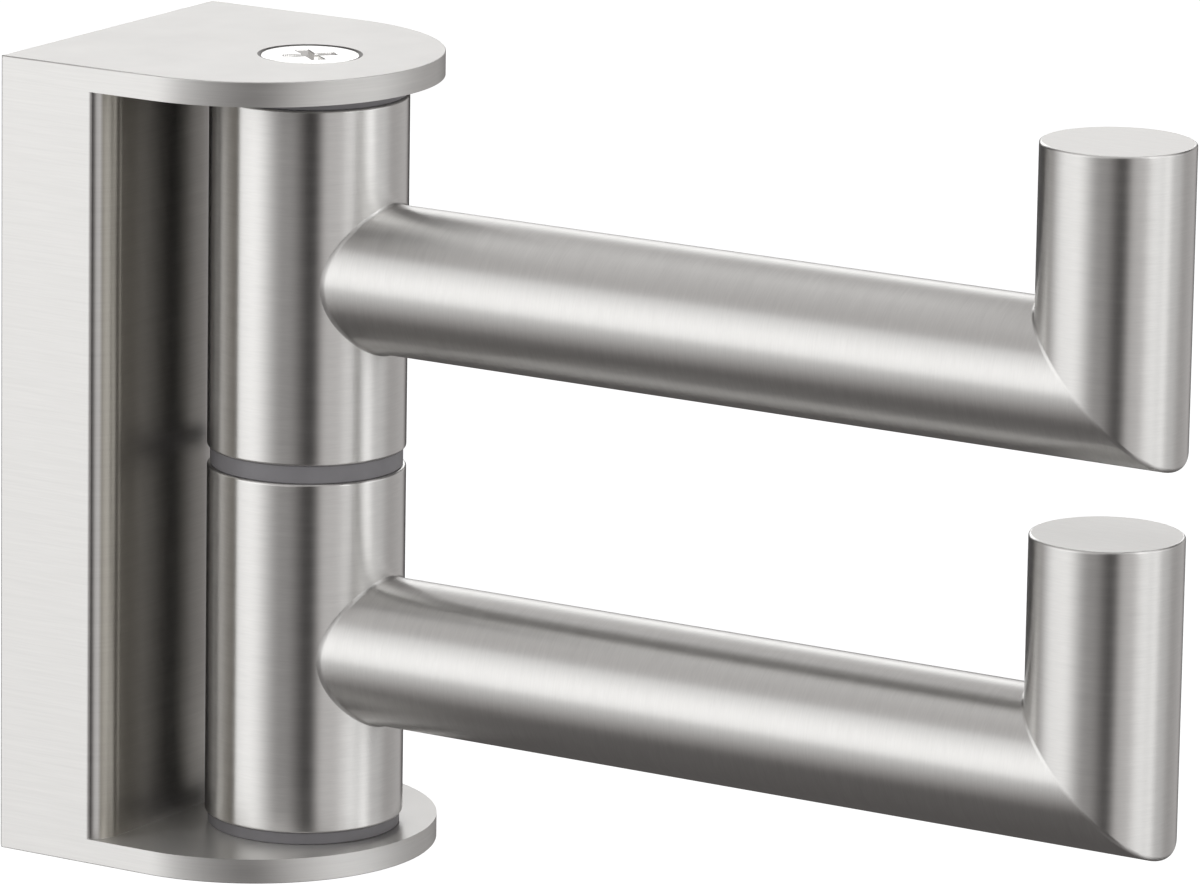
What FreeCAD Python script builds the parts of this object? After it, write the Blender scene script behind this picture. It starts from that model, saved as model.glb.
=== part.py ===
import FreeCAD, Part
import math
import os
import Sketcher

# Folding wall hook: a C-shaped bracket with two hooks that swing about one upright pivot.
# Millimetres. X runs along the wall, Z is up, the wall is the plane Y = 0 and the hook
# stands out from it towards -Y. The origin is the centre of the back, on the wall.

SIZES = {
    # bracket
    "bracket_width": 30.0,
    "bracket_height": 65.0,
    "bracket_depth": 29.5,
    "plate_thickness": 2.0,
    "back_depth": 10.0,
    "back_corner_radius": 3.0,
    "back_corner_setback": 1.5,
    "edge_chamfer": 0.25,
    # hollow in the back, open to the wall
    "shell_wall": 2.0,
    "hollow_top_wall": 4.0,
    "hollow_bottom_wall": 6.0,
    "hollow_corner_radius": 1.5,
    # wall plate inside the hollow
    "wall_plate_thickness": 3.0,
    "wall_plate_gap": 0.2,
    "wall_plate_corner_radius": 2.0,
    "wall_plate_chamfer": 1.0,
    "lift_space": 2.0,
    "tongue_width": 12.0,
    "tongue_height": 1.5,
    "tongue_thickness": 1.5,
    "tongue_gap": 0.1,
    "wall_hole_diameter": 4.5,
    "wall_hole_sink_diameter": 8.6,
    "wall_hole_spacing": 36.0,
    # clamp screw from below, with a cone point
    "clamp_diameter": 4.0,
    "clamp_length": 8.0,
    "clamp_distance": 4.0,
    "clamp_point_diameter": 0.6,
    "clamp_socket_size": 2.0,
    "clamp_socket_depth": 2.0,
    # pivot pin
    "pivot_distance": 19.5,
    "pin_diameter": 8.0,
    "pin_chamfer": 0.3,
    "tapped_depth": 13.0,
    "running_clearance": 0.05,
    "axial_play": 0.1,
    # countersunk screws at the ends of the pin
    "screw_diameter": 4.0,
    "screw_length": 10.0,
    "head_diameter": 7.9,
    "head_rim": 0.1,
    "sink_diameter": 8.3,
    "screw_hole_diameter": 4.3,
    "seat_gap": 0.03,
    "thread_clearance": 0.05,
    "cross_span": 4.4,
    "cross_floor_span": 1.8,
    "cross_width": 0.95,
    "cross_depth": 2.0,
    "top_screw_turn": -38.0,
    "bottom_screw_turn": 20.0,
    # washers, set back a little from the surface of the barrels
    "washer_inset": 0.25,
    "washer_thickness": 1.0,
    "middle_washer_thickness": 1.5,
    # barrels and their bushes
    "barrel_diameter": 16.0,
    "barrel_chamfer": 0.2,
    "bush_diameter": 10.0,
    "bush_length": 8.0,
    "bush_inset": 0.1,
    "press_clearance": 0.02,
    # arms and tips, each arm's height from the lower end of its barrel
    "rod_diameter": 12.0,
    "arm_reach": 73.0,
    "tip_rise": 18.8,
    "tip_chamfer": 0.2,
    "lower_arm_height": 14.25,
    "upper_arm_height": 14.5,
}

# Sizes that follow from the driving ones
HALF_WIDTH = "(sizes.bracket_width / 2)"
HALF_HEIGHT = "(sizes.bracket_height / 2)"
INNER_HEIGHT = "(sizes.bracket_height - 2 * sizes.plate_thickness)"
ROUND_END_Y = "(sizes.bracket_width / 2 - sizes.bracket_depth)"
BACK_SIDE_Y = "(sizes.back_corner_setback - sizes.back_depth)"
BACK_ROUND_Y = "(sizes.back_corner_radius - sizes.back_depth)"
BACK_ROUND_X = ("(" + HALF_WIDTH + " - sqrt(sizes.back_corner_radius ^ 2"
                " - (sizes.back_corner_radius - sizes.back_corner_setback) ^ 2))")
HOLLOW_HALF_WIDTH = "(sizes.bracket_width / 2 - sizes.shell_wall)"
HOLLOW_TOP = "(sizes.bracket_height / 2 - sizes.hollow_top_wall)"
HOLLOW_FLOOR = "(sizes.hollow_bottom_wall - sizes.bracket_height / 2)"
WALL_PLATE_FLOOR = "(" + HOLLOW_FLOOR + " + sizes.lift_space)"
WALL_PLATE_TOP = "(" + HOLLOW_TOP + " - sizes.wall_plate_gap)"
PIVOT_Y = "(-sizes.pivot_distance)"
BARREL_LENGTH = ("((" + INNER_HEIGHT + " - 2 * sizes.washer_thickness"
                 " - sizes.middle_washer_thickness - sizes.axial_play) / 2)")
BARREL_RADIUS = "(sizes.barrel_diameter / 2)"
ROD_RADIUS = "(sizes.rod_diameter / 2)"
RUNNING_RADIUS = "(sizes.pin_diameter / 2 + sizes.running_clearance)"

# Heights of the pieces stacked on the pin, from the lower plate up
BOTTOM_WASHER_Z = "(sizes.plate_thickness - sizes.bracket_height / 2)"
LOWER_BARREL_Z = "(" + BOTTOM_WASHER_Z + " + sizes.washer_thickness)"
MIDDLE_WASHER_Z = "(" + LOWER_BARREL_Z + " + " + BARREL_LENGTH + ")"
UPPER_BARREL_Z = "(" + MIDDLE_WASHER_Z + " + sizes.middle_washer_thickness)"
TOP_WASHER_Z = "(" + UPPER_BARREL_Z + " + " + BARREL_LENGTH + ")"

# How far a cutting outline runs past what it cuts, and how closely places must agree
CUT_MARGIN = 1.0
TOLERANCE = 1e-6

PARTS_FOLDER = "parts"

doc = FreeCAD.newDocument("folding_wall_hook")
sheet = doc.addObject("Spreadsheet::Sheet", "sizes")
bodies = []


def fill_sheet():
    """Write the driving sizes into the sheet, one named cell a row."""
    for row, (name, size) in enumerate(SIZES.items(), start=1):
        sheet.set("A%d" % row, name)
        sheet.set("B%d" % row, str(size))
        sheet.setAlias("B%d" % row, name)
    doc.recompute()


def value(expression):
    """The number that an expression of the sheet's names gives."""
    return float(sheet.evalExpression(str(expression).replace("sizes.", "")))


def origin_item(body, role):
    """A plane or an axis of the body's own origin."""
    return [item for item in body.Origin.OriginFeatures if item.Role == role][0]


def new_body(label, y="0", z="0"):
    """An empty body whose place is driven by the sheet."""
    body = doc.addObject("PartDesign::Body", label)
    body.Label = label
    body.setExpression("Placement.Base.y", y)
    body.setExpression("Placement.Base.z", z)
    bodies.append(body)
    return body


def new_sketch(body, name, plane, height=None):
    """An empty sketch on a plane of the body's origin, or at a height above it."""
    sketch = body.newObject("Sketcher::SketchObject", name)
    sketch.AttachmentSupport = [(origin_item(body, plane), "")]
    sketch.MapMode = "FlatFace"
    if height:
        sketch.setExpression("AttachmentOffset.Base.z", height)
    return sketch


def pin_point(sketch, geometry, point, across=None, up=None):
    """Hold a point of the sketch at driven distances from the sketch's origin."""
    for kind, expression in (("DistanceX", across), ("DistanceY", up)):
        if expression is not None:
            number = sketch.addConstraint(
                Sketcher.Constraint(kind, geometry, point, value(expression)))
            sketch.setExpression("Constraints[%d]" % number, expression)


def outline(body, name, plane, corners, height=None):
    """A closed outline of straight and round stretches.

    Each corner is (across, up), and the stretch to the next corner is straight. A corner
    (across, up, centre_across, centre_up) starts an anticlockwise arc about that centre.
    """
    sketch = new_sketch(body, name, plane, height)
    places = [FreeCAD.Vector(value(c[0]), value(c[1]), 0) for c in corners]
    count = len(corners)
    for i, corner in enumerate(corners):
        start, end = places[i], places[(i + 1) % count]
        if len(corner) == 2:
            sketch.addGeometry(Part.LineSegment(start, end), False)
        else:
            centre = FreeCAD.Vector(value(corner[2]), value(corner[3]), 0)
            circle = Part.Circle(centre, FreeCAD.Vector(0, 0, 1), (start - centre).Length)
            sketch.addGeometry(
                Part.ArcOfCircle(circle, circle.parameter(start), circle.parameter(end)), False)
    for i, corner in enumerate(corners):
        before = (i - 1) % count
        sketch.addConstraint(Sketcher.Constraint("Coincident", before, 2, i, 1))
        across, up = corner[0], corner[1]
        if len(corners[before]) == 4:
            # the arc that ends here already fixes one direction
            centre = FreeCAD.Vector(value(corners[before][2]), value(corners[before][3]), 0)
            arm = places[i] - centre
            if abs(arm.x) > abs(arm.y):
                across = None
            else:
                up = None
        pin_point(sketch, i, 1, across, up)
        if len(corner) == 4:
            pin_point(sketch, i, 3, corner[2], corner[3])
    return sketch


def circles(body, name, plane, centres, diameter, height=None):
    """Circles of one driven diameter about driven centres."""
    sketch = new_sketch(body, name, plane, height)
    for i, (across, up) in enumerate(centres):
        centre = FreeCAD.Vector(value(across), value(up), 0)
        sketch.addGeometry(
            Part.Circle(centre, FreeCAD.Vector(0, 0, 1), value(diameter) / 2), False)
        pin_point(sketch, i, 3, across, up)
        number = sketch.addConstraint(
            Sketcher.Constraint("Diameter", i, value(diameter)))
        sketch.setExpression("Constraints[%d]" % number, diameter)
    return sketch


def rounded_rectangle(left, right, low, high, radius):
    """The corners of a rectangle with rounded corners, for outline()."""
    inner_left, inner_right = "(%s + %s)" % (left, radius), "(%s - %s)" % (right, radius)
    inner_low, inner_high = "(%s + %s)" % (low, radius), "(%s - %s)" % (high, radius)
    return [
        (inner_left, low),
        (inner_right, low, inner_right, inner_low),
        (right, inner_low),
        (right, inner_high, inner_right, inner_high),
        (inner_right, high),
        (inner_left, high, inner_left, inner_high),
        (left, inner_high),
        (left, inner_low, inner_left, inner_low),
    ]


def extrude(body, kind, name, sketch, length, both_ways=False, reverse=False):
    """A pad or a pocket of driven length."""
    feature = body.newObject("PartDesign::" + kind, name)
    feature.Profile = sketch
    feature.setExpression("Length", length)
    feature.SideType = "Symmetric" if both_ways else "One side"
    feature.Reversed = reverse
    sketch.Visibility = False
    return feature


def pocket(body, name, sketch, length, both_ways=False, reverse=False):
    """A pocket that is checked to have taken material away."""
    doc.recompute()
    before = body.Shape.Volume
    feature = extrude(body, "Pocket", name, sketch, length, both_ways, reverse)
    doc.recompute()
    if body.Shape.Volume > before - TOLERANCE:
        raise RuntimeError(body.Label + " " + name + " cuts nothing")
    return feature


def turned(body, name, corners):
    """A turned solid: an outline in the XZ plane, spun about the body's Z axis."""
    sketch = outline(body, name + "_profile", "XZ_Plane", corners)
    feature = body.newObject("PartDesign::Revolution", name)
    feature.Profile = sketch
    feature.ReferenceAxis = (origin_item(body, "Z_Axis"), [""])
    feature.Angle = 360
    sketch.Visibility = False
    return feature


def countersunk_hole(body, name, sketch, depth, diameter, sink_diameter):
    """A round hole with a 90 degree countersink at its mouth."""
    doc.recompute()
    hole = body.newObject("PartDesign::Hole", name)
    hole.Profile = sketch
    doc.recompute()
    hole.ThreadType = "None"
    hole.DepthType = "Dimension"
    hole.DrillPoint = "Flat"
    hole.HoleCutType = "Countersink"
    hole.HoleCutCustomValues = True
    hole.HoleCutCountersinkAngle = 90
    hole.setExpression("Diameter", diameter)
    hole.setExpression("HoleCutDiameter", sink_diameter)
    hole.setExpression("Depth", depth)
    sketch.Visibility = False
    return hole


def ease_edges(body, name, size, test):
    """A chamfer on each edge whose start, middle and end pass the test."""
    doc.recompute()
    names = []
    for i, edge in enumerate(body.Tip.Shape.Edges):
        first, last = edge.FirstParameter, edge.LastParameter
        if test([edge.valueAt(t) for t in (first, (first + last) / 2, last)]):
            names.append("Edge%d" % (i + 1))
    if not names:
        raise RuntimeError(body.Label + " " + name + " finds no edge")
    base = body.Tip
    chamfer = body.newObject("PartDesign::Chamfer", name)
    chamfer.Base = (base, names)
    chamfer.setExpression("Size", size)


def make_bracket():
    """The C-shaped shell: two plates with round ends, joined by a hollow back."""
    body = new_body("bracket")
    plan = outline(body, "plan", "XY_Plane", [
        ("-" + HALF_WIDTH, "0"),
        ("-" + HALF_WIDTH, ROUND_END_Y, "0", ROUND_END_Y),
        (HALF_WIDTH, ROUND_END_Y),
        (HALF_WIDTH, "0"),
    ])
    extrude(body, "Pad", "block", plan, "sizes.bracket_height", both_ways=True)

    # the space between the plates; the sides cut the rounded front corners of the back short
    far_right = "(%s + %s)" % (HALF_WIDTH, CUT_MARGIN)
    far_left, far_front = "-" + far_right, "-sizes.bracket_depth - %s" % CUT_MARGIN
    window = outline(body, "window_plan", "XY_Plane", [
        (far_left, BACK_SIDE_Y),
        ("-" + HALF_WIDTH, BACK_SIDE_Y, "-" + BACK_ROUND_X, BACK_ROUND_Y),
        ("-" + BACK_ROUND_X, "-sizes.back_depth"),
        (BACK_ROUND_X, "-sizes.back_depth", BACK_ROUND_X, BACK_ROUND_Y),
        (HALF_WIDTH, BACK_SIDE_Y),
        (far_right, BACK_SIDE_Y),
        (far_right, far_front),
        (far_left, far_front),
    ])
    pocket(body, "window", window, INNER_HEIGHT, both_ways=True)

    # the hollow that takes the wall plate, and the groove for its tongue
    hollow = outline(body, "hollow_outline", "XZ_Plane", rounded_rectangle(
        "(-%s)" % HOLLOW_HALF_WIDTH, HOLLOW_HALF_WIDTH, HOLLOW_FLOOR, HOLLOW_TOP,
        "sizes.hollow_corner_radius"))
    pocket(body, "hollow", hollow, "sizes.back_depth - sizes.shell_wall", reverse=True)
    groove_front = "-sizes.wall_plate_thickness - sizes.tongue_gap"
    groove_back = "sizes.tongue_thickness + sizes.tongue_gap - sizes.wall_plate_thickness"
    groove_top = HOLLOW_TOP + " + sizes.tongue_height"
    groove = outline(body, "groove_section", "YZ_Plane", [
        (groove_front, HOLLOW_TOP + " - %s" % CUT_MARGIN),
        (groove_back, HOLLOW_TOP + " - %s" % CUT_MARGIN),
        (groove_back, groove_top),
        (groove_front, groove_top),
    ])
    pocket(body, "groove", groove, "sizes.tongue_width + 2 * sizes.wall_plate_gap",
           both_ways=True)

    # the hole of the clamp screw, through the wall below the hollow
    clamp = circles(body, "clamp_circle", "XY_Plane", [("0", "-sizes.clamp_distance")],
                    "sizes.clamp_diameter + 2 * sizes.thread_clearance")
    pocket(body, "clamp_hole", clamp, HALF_HEIGHT + " + %s" % CUT_MARGIN)

    # the edges round the wall side, and the outer rims of the plates
    half_width, half_height = value(HALF_WIDTH), value(HALF_HEIGHT)
    round_end = value(ROUND_END_Y)

    def on_outer_edge(points):
        at_side = all(abs(abs(p.x) - half_width) < TOLERANCE for p in points)
        at_outer_face = all(abs(abs(p.z) - half_height) < TOLERANCE for p in points)
        at_wall = all(abs(p.y) < TOLERANCE for p in points)
        at_round_end = all(abs(math.hypot(p.x, p.y - round_end) - half_width) < TOLERANCE
                           for p in points)
        return [at_side, at_outer_face, at_wall].count(True) == 2 or (
            at_outer_face and at_round_end)

    ease_edges(body, "outer_edges", "sizes.edge_chamfer", on_outer_edge)

    # a countersunk hole in each plate for the screws of the pivot pin
    upper = circles(body, "upper_screw_circle", "XY_Plane", [("0", PIVOT_Y)],
                    "sizes.screw_hole_diameter", height=HALF_HEIGHT)
    upper_hole = countersunk_hole(body, "upper_screw_hole", upper,
                                  "sizes.plate_thickness + %s" % CUT_MARGIN,
                                  "sizes.screw_hole_diameter", "sizes.sink_diameter")
    doc.recompute()
    lower_hole = body.newObject("PartDesign::Mirrored", "lower_screw_hole")
    lower_hole.Originals = [upper_hole]
    lower_hole.MirrorPlane = (origin_item(body, "XY_Plane"), [""])
    body.Tip = lower_hole


def make_wall_plate():
    """The plate that is screwed to the wall, with a tongue that the bracket hooks over."""
    body = new_body("wall_plate")
    side = "(%s - sizes.wall_plate_gap)" % HOLLOW_HALF_WIDTH
    face = outline(body, "face_outline", "XZ_Plane", rounded_rectangle(
        "(-%s)" % side, side, WALL_PLATE_FLOOR, WALL_PLATE_TOP,
        "sizes.wall_plate_corner_radius"))
    extrude(body, "Pad", "plate", face, "sizes.wall_plate_thickness")

    tongue = outline(body, "tongue_section", "YZ_Plane", [
        ("-sizes.wall_plate_thickness", WALL_PLATE_TOP + " - %s" % CUT_MARGIN),
        ("sizes.tongue_thickness - sizes.wall_plate_thickness",
         WALL_PLATE_TOP + " - %s" % CUT_MARGIN),
        ("sizes.tongue_thickness - sizes.wall_plate_thickness",
         WALL_PLATE_TOP + " + sizes.tongue_height"),
        ("-sizes.wall_plate_thickness", WALL_PLATE_TOP + " + sizes.tongue_height"),
    ])
    extrude(body, "Pad", "tongue", tongue, "sizes.tongue_width", both_ways=True)

    # the lower front edge is bevelled, and the cone of the clamp screw bears on the bevel
    bevel = outline(body, "bevel_section", "YZ_Plane", [
        ("-sizes.wall_plate_thickness", WALL_PLATE_FLOOR),
        ("sizes.wall_plate_chamfer - sizes.wall_plate_thickness", WALL_PLATE_FLOOR),
        ("-sizes.wall_plate_thickness", WALL_PLATE_FLOOR + " + sizes.wall_plate_chamfer"),
    ])
    pocket(body, "bevel", bevel, "sizes.bracket_width", both_ways=True)

    holes = circles(body, "hole_circles", "XZ_Plane",
                    [("0", "sizes.wall_hole_spacing / 2"), ("0", "-sizes.wall_hole_spacing / 2")],
                    "sizes.wall_hole_diameter", height="sizes.wall_plate_thickness")
    countersunk_hole(body, "wall_holes", holes, "sizes.wall_plate_thickness + %s" % CUT_MARGIN,
                     "sizes.wall_hole_diameter", "sizes.wall_hole_sink_diameter")


def make_clamp_screw():
    """The set screw whose cone draws the bracket down and in against the wall plate."""
    radius, point = "(sizes.clamp_diameter / 2)", "(sizes.clamp_point_diameter / 2)"
    cone = "(%s - %s)" % (radius, point)
    cone_base_z = ("%s + sizes.clamp_distance - %s - sizes.wall_plate_thickness"
                   " + sizes.wall_plate_chamfer - 2 * sizes.seat_gap"
                   % (WALL_PLATE_FLOOR, radius))
    body = new_body("clamp_screw", "-sizes.clamp_distance", cone_base_z)
    tail = "(%s - sizes.clamp_length)" % cone
    turned(body, "screw", [
        ("0", tail),
        (radius, tail),
        (radius, "0"),
        (point, cone),
        ("0", cone),
    ])
    socket = new_sketch(body, "socket_hexagon", "XY_Plane", tail)
    reach = value("sizes.clamp_socket_size") / math.sqrt(3)
    corners = [FreeCAD.Vector(reach, 0, 0)]
    for i in range(6):
        turn = FreeCAD.Rotation(FreeCAD.Vector(0, 0, 1), 60 * (i + 1))
        corners.append(turn.multVec(corners[0]))
        socket.addGeometry(Part.LineSegment(corners[i], corners[i + 1]), False)
    for i in range(6):
        socket.addConstraint(Sketcher.Constraint("Coincident", i, 2, (i + 1) % 6, 1))
    ring = socket.addGeometry(
        Part.Circle(FreeCAD.Vector(0, 0, 0), FreeCAD.Vector(0, 0, 1), reach), True)
    socket.addConstraint(Sketcher.Constraint("Coincident", ring, 3, -1, 1))
    for i in range(6):
        socket.addConstraint(Sketcher.Constraint("PointOnObject", i, 1, ring))
    for i in range(5):
        socket.addConstraint(Sketcher.Constraint("Equal", i, i + 1))
    socket.addConstraint(Sketcher.Constraint("PointOnObject", 0, 1, -1))
    number = socket.addConstraint(Sketcher.Constraint("Radius", ring, reach))
    socket.setExpression("Constraints[%d]" % number, "sizes.clamp_socket_size / sqrt(3)")
    pocket(body, "socket", socket, "sizes.clamp_socket_depth", reverse=True)


def make_pivot_pin():
    """The axle between the plates, tapped at both ends for the screws."""
    body = new_body("pivot_pin", PIVOT_Y)
    radius, tapped = "(sizes.pin_diameter / 2)", "(sizes.screw_diameter / 2)"
    mouth = ("max(%s + sizes.pin_chamfer; sizes.sink_diameter / 2 - sizes.plate_thickness"
             " + sizes.running_clearance * 2)" % tapped)
    top = "(%s / 2)" % INNER_HEIGHT
    shoulder = "(%s - sizes.pin_chamfer)" % top
    mouth_floor = "(%s - %s + %s)" % (top, mouth, tapped)
    tapped_floor = "(%s - sizes.tapped_depth)" % top
    upper_half = [
        (radius, shoulder),
        (radius + " - sizes.pin_chamfer", top),
        (mouth, top),
        (tapped, mouth_floor),
        (tapped, tapped_floor),
        ("0", tapped_floor),
    ]
    lower_half = [(across, "-" + up) for across, up in reversed(upper_half)]
    turned(body, "pin", upper_half + lower_half)


def make_pin_screw(label, upper):
    """A countersunk screw with a cross recess, its head flush in a plate of the bracket."""
    z = HALF_HEIGHT if upper else "-" + HALF_HEIGHT
    body = new_body(label, PIVOT_Y, z)
    turn = "sizes.top_screw_turn" if upper else "sizes.bottom_screw_turn"
    if upper:
        body.Placement.Rotation = FreeCAD.Rotation(FreeCAD.Vector(0, 0, 1), value(turn))
    else:
        upside_down = FreeCAD.Rotation(FreeCAD.Vector(1, 0, 0), 180)
        about_z = FreeCAD.Rotation(FreeCAD.Vector(0, 0, 1), value(turn))
        body.Placement.Rotation = about_z.multiply(upside_down)

    head, shank = "(sizes.head_diameter / 2)", "(sizes.screw_diameter / 2 - sizes.thread_clearance)"
    cone_at_axis = "(sizes.sink_diameter / 2 - sizes.seat_gap * sqrt(2))"
    rim_z = "(%s - %s)" % (head, cone_at_axis)
    neck_z = "(%s - %s)" % (shank, cone_at_axis)
    top_z = "(%s + sizes.head_rim)" % rim_z
    end_z = "(%s - sizes.screw_length)" % top_z
    turned(body, "screw", [
        ("0", end_z),
        (shank + " - sizes.pin_chamfer", end_z),
        (shank, end_z + " + sizes.pin_chamfer"),
        (shank, neck_z),
        (head, rim_z),
        (head, top_z),
        ("0", top_z),
    ])
    for plane in ("XZ_Plane", "YZ_Plane"):
        floor_z = "(%s - sizes.cross_depth)" % top_z
        wing = outline(body, "wing_" + plane[:2].lower(), plane, [
            ("-sizes.cross_floor_span / 2", floor_z),
            ("sizes.cross_floor_span / 2", floor_z),
            ("sizes.cross_span / 2", top_z),
            ("-sizes.cross_span / 2", top_z),
        ])
        pocket(body, "cross_" + plane[:2].lower(), wing, "sizes.cross_width", both_ways=True)


def make_washer(label, z, thickness="sizes.washer_thickness"):
    """A flat plastic washer round the pin."""
    body = new_body(label, PIVOT_Y, z)
    rim = BARREL_RADIUS + " - sizes.washer_inset"
    turned(body, "washer", [
        (RUNNING_RADIUS, "0"),
        (rim, "0"),
        (rim, thickness),
        (RUNNING_RADIUS, thickness),
    ])


def make_bush(label, z):
    """A plastic bush pressed into one end of a barrel."""
    body = new_body(label, PIVOT_Y, z)
    outer = "sizes.bush_diameter / 2 - sizes.press_clearance"
    turned(body, "bush", [
        (RUNNING_RADIUS, "0"),
        (outer, "0"),
        (outer, "sizes.bush_length"),
        (RUNNING_RADIUS, "sizes.bush_length"),
    ])


def make_barrel(label, z):
    """The turned tube of a hook, with a broken edge at each end."""
    body = new_body(label, PIVOT_Y, z)
    bore, edge = "sizes.bush_diameter / 2", BARREL_RADIUS + " - sizes.barrel_chamfer"
    turned(body, "barrel", [
        (bore, "0"),
        (edge, "0"),
        (BARREL_RADIUS, "sizes.barrel_chamfer"),
        (BARREL_RADIUS, BARREL_LENGTH + " - sizes.barrel_chamfer"),
        (edge, BARREL_LENGTH),
        (bore, BARREL_LENGTH),
    ])


def mitre_corners(keep_arm):
    """The wedge beyond the 45 degree mitre, on the tip's side or on the arm's side."""
    reach = "(%s + %s)" % (ROD_RADIUS, CUT_MARGIN)
    near, far = "%s - sizes.arm_reach" % reach, "-sizes.arm_reach - %s" % reach
    third = (far, reach) if keep_arm else (near, "-" + reach)
    return [(near, reach), (far, "-" + reach), third]


def make_arm(label, z):
    """The round bar of a hook: coped to its barrel at one end, mitred at the other."""
    body = new_body(label, PIVOT_Y, z)
    section = circles(body, "section", "XZ_Plane", [("0", "0")], "sizes.rod_diameter")
    extrude(body, "Pad", "bar", section, "sizes.arm_reach + " + ROD_RADIUS)
    across = "sizes.rod_diameter + 2 * %s" % CUT_MARGIN
    cope = circles(body, "cope_circle", "XY_Plane", [("0", "0")], "sizes.barrel_diameter")
    pocket(body, "cope", cope, across, both_ways=True)
    wedge = outline(body, "mitre_wedge", "YZ_Plane", mitre_corners(keep_arm=True))
    pocket(body, "mitre", wedge, across, both_ways=True)


def make_tip(label, z):
    """The short upright bar at the end of an arm, mitred at its foot."""
    body = new_body(label, PIVOT_Y, z)
    section = circles(body, "section", "XY_Plane", [("0", "-sizes.arm_reach")],
                      "sizes.rod_diameter", height="-" + ROD_RADIUS)
    extrude(body, "Pad", "bar", section, "sizes.tip_rise + " + ROD_RADIUS)
    across = "sizes.rod_diameter + 2 * %s" % CUT_MARGIN
    wedge = outline(body, "mitre_wedge", "YZ_Plane", mitre_corners(keep_arm=False))
    pocket(body, "mitre", wedge, across, both_ways=True)
    top = value("sizes.tip_rise")
    ease_edges(body, "top_edge", "sizes.tip_chamfer",
               lambda points: all(abs(p.z - top) < TOLERANCE for p in points))


def make_hook(name, barrel_z, arm_height):
    """One hook: barrel, two bushes, arm and tip."""
    make_barrel(name + "_barrel", barrel_z)
    make_bush(name + "_barrel_base_bush", barrel_z + " + sizes.bush_inset")
    make_bush(name + "_barrel_top_bush",
              barrel_z + " + " + BARREL_LENGTH + " - sizes.bush_inset - sizes.bush_length")
    make_arm(name + "_arm", barrel_z + " + " + arm_height)
    make_tip(name + "_tip", barrel_z + " + " + arm_height)


def check_and_export():
    """Stop if anything failed, then write one STEP file for each sub-part."""
    doc.recompute()
    for item in doc.Objects:
        faults = [state for state in item.State if state in ("Invalid", "Error")]
        if faults:
            raise RuntimeError("%s is %s" % (item.Label, faults))
    for body in bodies:
        if body.Shape.isNull() or not body.Shape.isValid() or len(body.Shape.Solids) != 1:
            raise RuntimeError(body.Label + " has no single valid solid")
    os.makedirs(PARTS_FOLDER, exist_ok=True)
    for body in bodies:
        body.Shape.exportStep(os.path.join(PARTS_FOLDER, body.Label + ".step"))
        print("%-24s %8.1f mm3" % (body.Label, body.Shape.Volume))


fill_sheet()
make_bracket()
make_wall_plate()
make_clamp_screw()
make_pivot_pin()
make_pin_screw("top_screw", upper=True)
make_pin_screw("bottom_screw", upper=False)
make_washer("bottom_washer", BOTTOM_WASHER_Z)
make_washer("middle_washer", MIDDLE_WASHER_Z, "sizes.middle_washer_thickness")
make_washer("top_washer", TOP_WASHER_Z)
make_hook("lower", LOWER_BARREL_Z, "sizes.lower_arm_height")
make_hook("upper", UPPER_BARREL_Z, "sizes.upper_arm_height")
check_and_export()
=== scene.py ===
import math

import bmesh
import bpy
import numpy as np
from bpy.props import FloatProperty, FloatVectorProperty, IntProperty, PointerProperty
from mathutils import Matrix, Vector


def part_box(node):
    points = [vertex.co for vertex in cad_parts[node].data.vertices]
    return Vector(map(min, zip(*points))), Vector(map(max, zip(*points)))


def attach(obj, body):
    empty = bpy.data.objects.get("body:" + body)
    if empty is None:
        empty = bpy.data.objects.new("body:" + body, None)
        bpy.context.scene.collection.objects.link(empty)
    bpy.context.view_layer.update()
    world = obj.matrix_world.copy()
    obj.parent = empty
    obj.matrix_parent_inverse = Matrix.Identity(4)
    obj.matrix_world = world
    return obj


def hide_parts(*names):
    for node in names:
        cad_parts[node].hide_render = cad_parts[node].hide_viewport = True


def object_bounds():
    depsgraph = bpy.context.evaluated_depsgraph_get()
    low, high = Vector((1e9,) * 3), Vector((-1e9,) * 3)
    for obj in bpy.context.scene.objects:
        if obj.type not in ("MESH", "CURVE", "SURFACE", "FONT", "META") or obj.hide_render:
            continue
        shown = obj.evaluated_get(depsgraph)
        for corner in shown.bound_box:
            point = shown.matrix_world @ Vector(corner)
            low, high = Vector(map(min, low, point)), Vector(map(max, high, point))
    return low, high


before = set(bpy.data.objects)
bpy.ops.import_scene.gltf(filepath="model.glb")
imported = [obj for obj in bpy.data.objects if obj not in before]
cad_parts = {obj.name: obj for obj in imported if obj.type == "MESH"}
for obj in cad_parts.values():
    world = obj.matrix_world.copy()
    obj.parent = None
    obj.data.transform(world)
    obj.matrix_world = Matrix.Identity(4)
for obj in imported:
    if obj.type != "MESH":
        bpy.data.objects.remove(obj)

bl_info = {
    "name": "Folding wall hook",
    "version": (1, 0, 0),
    "blender": (4, 5, 0),
    "location": "3D View > Sidebar > Wall hook",
    "description": "Builds and finishes a double folding wall hook in brushed stainless steel",
    "category": "Add Mesh",
}

MM = 0.001
CAD_BOX = [list(corner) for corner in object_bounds()]

# Places taken from the frame, in metres
BARREL_LOW, BARREL_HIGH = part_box("upper_barrel")
PIVOT_Y = (BARREL_LOW.y + BARREL_HIGH.y) / 2
BARREL_RADIUS = (BARREL_HIGH.x - BARREL_LOW.x) / 2
BORE_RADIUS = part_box("upper_barrel_base_bush")[1].x
PIN_CLEARANCE = 0.05 * MM
WASHER_BORE_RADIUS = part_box("pivot_pin")[1].x + PIN_CLEARANCE
BRACKET_LOW, BRACKET_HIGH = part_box("bracket")
# The round ends of the plates start here
ROUND_END_Y = BRACKET_LOW.y + BRACKET_HIGH.x

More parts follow.
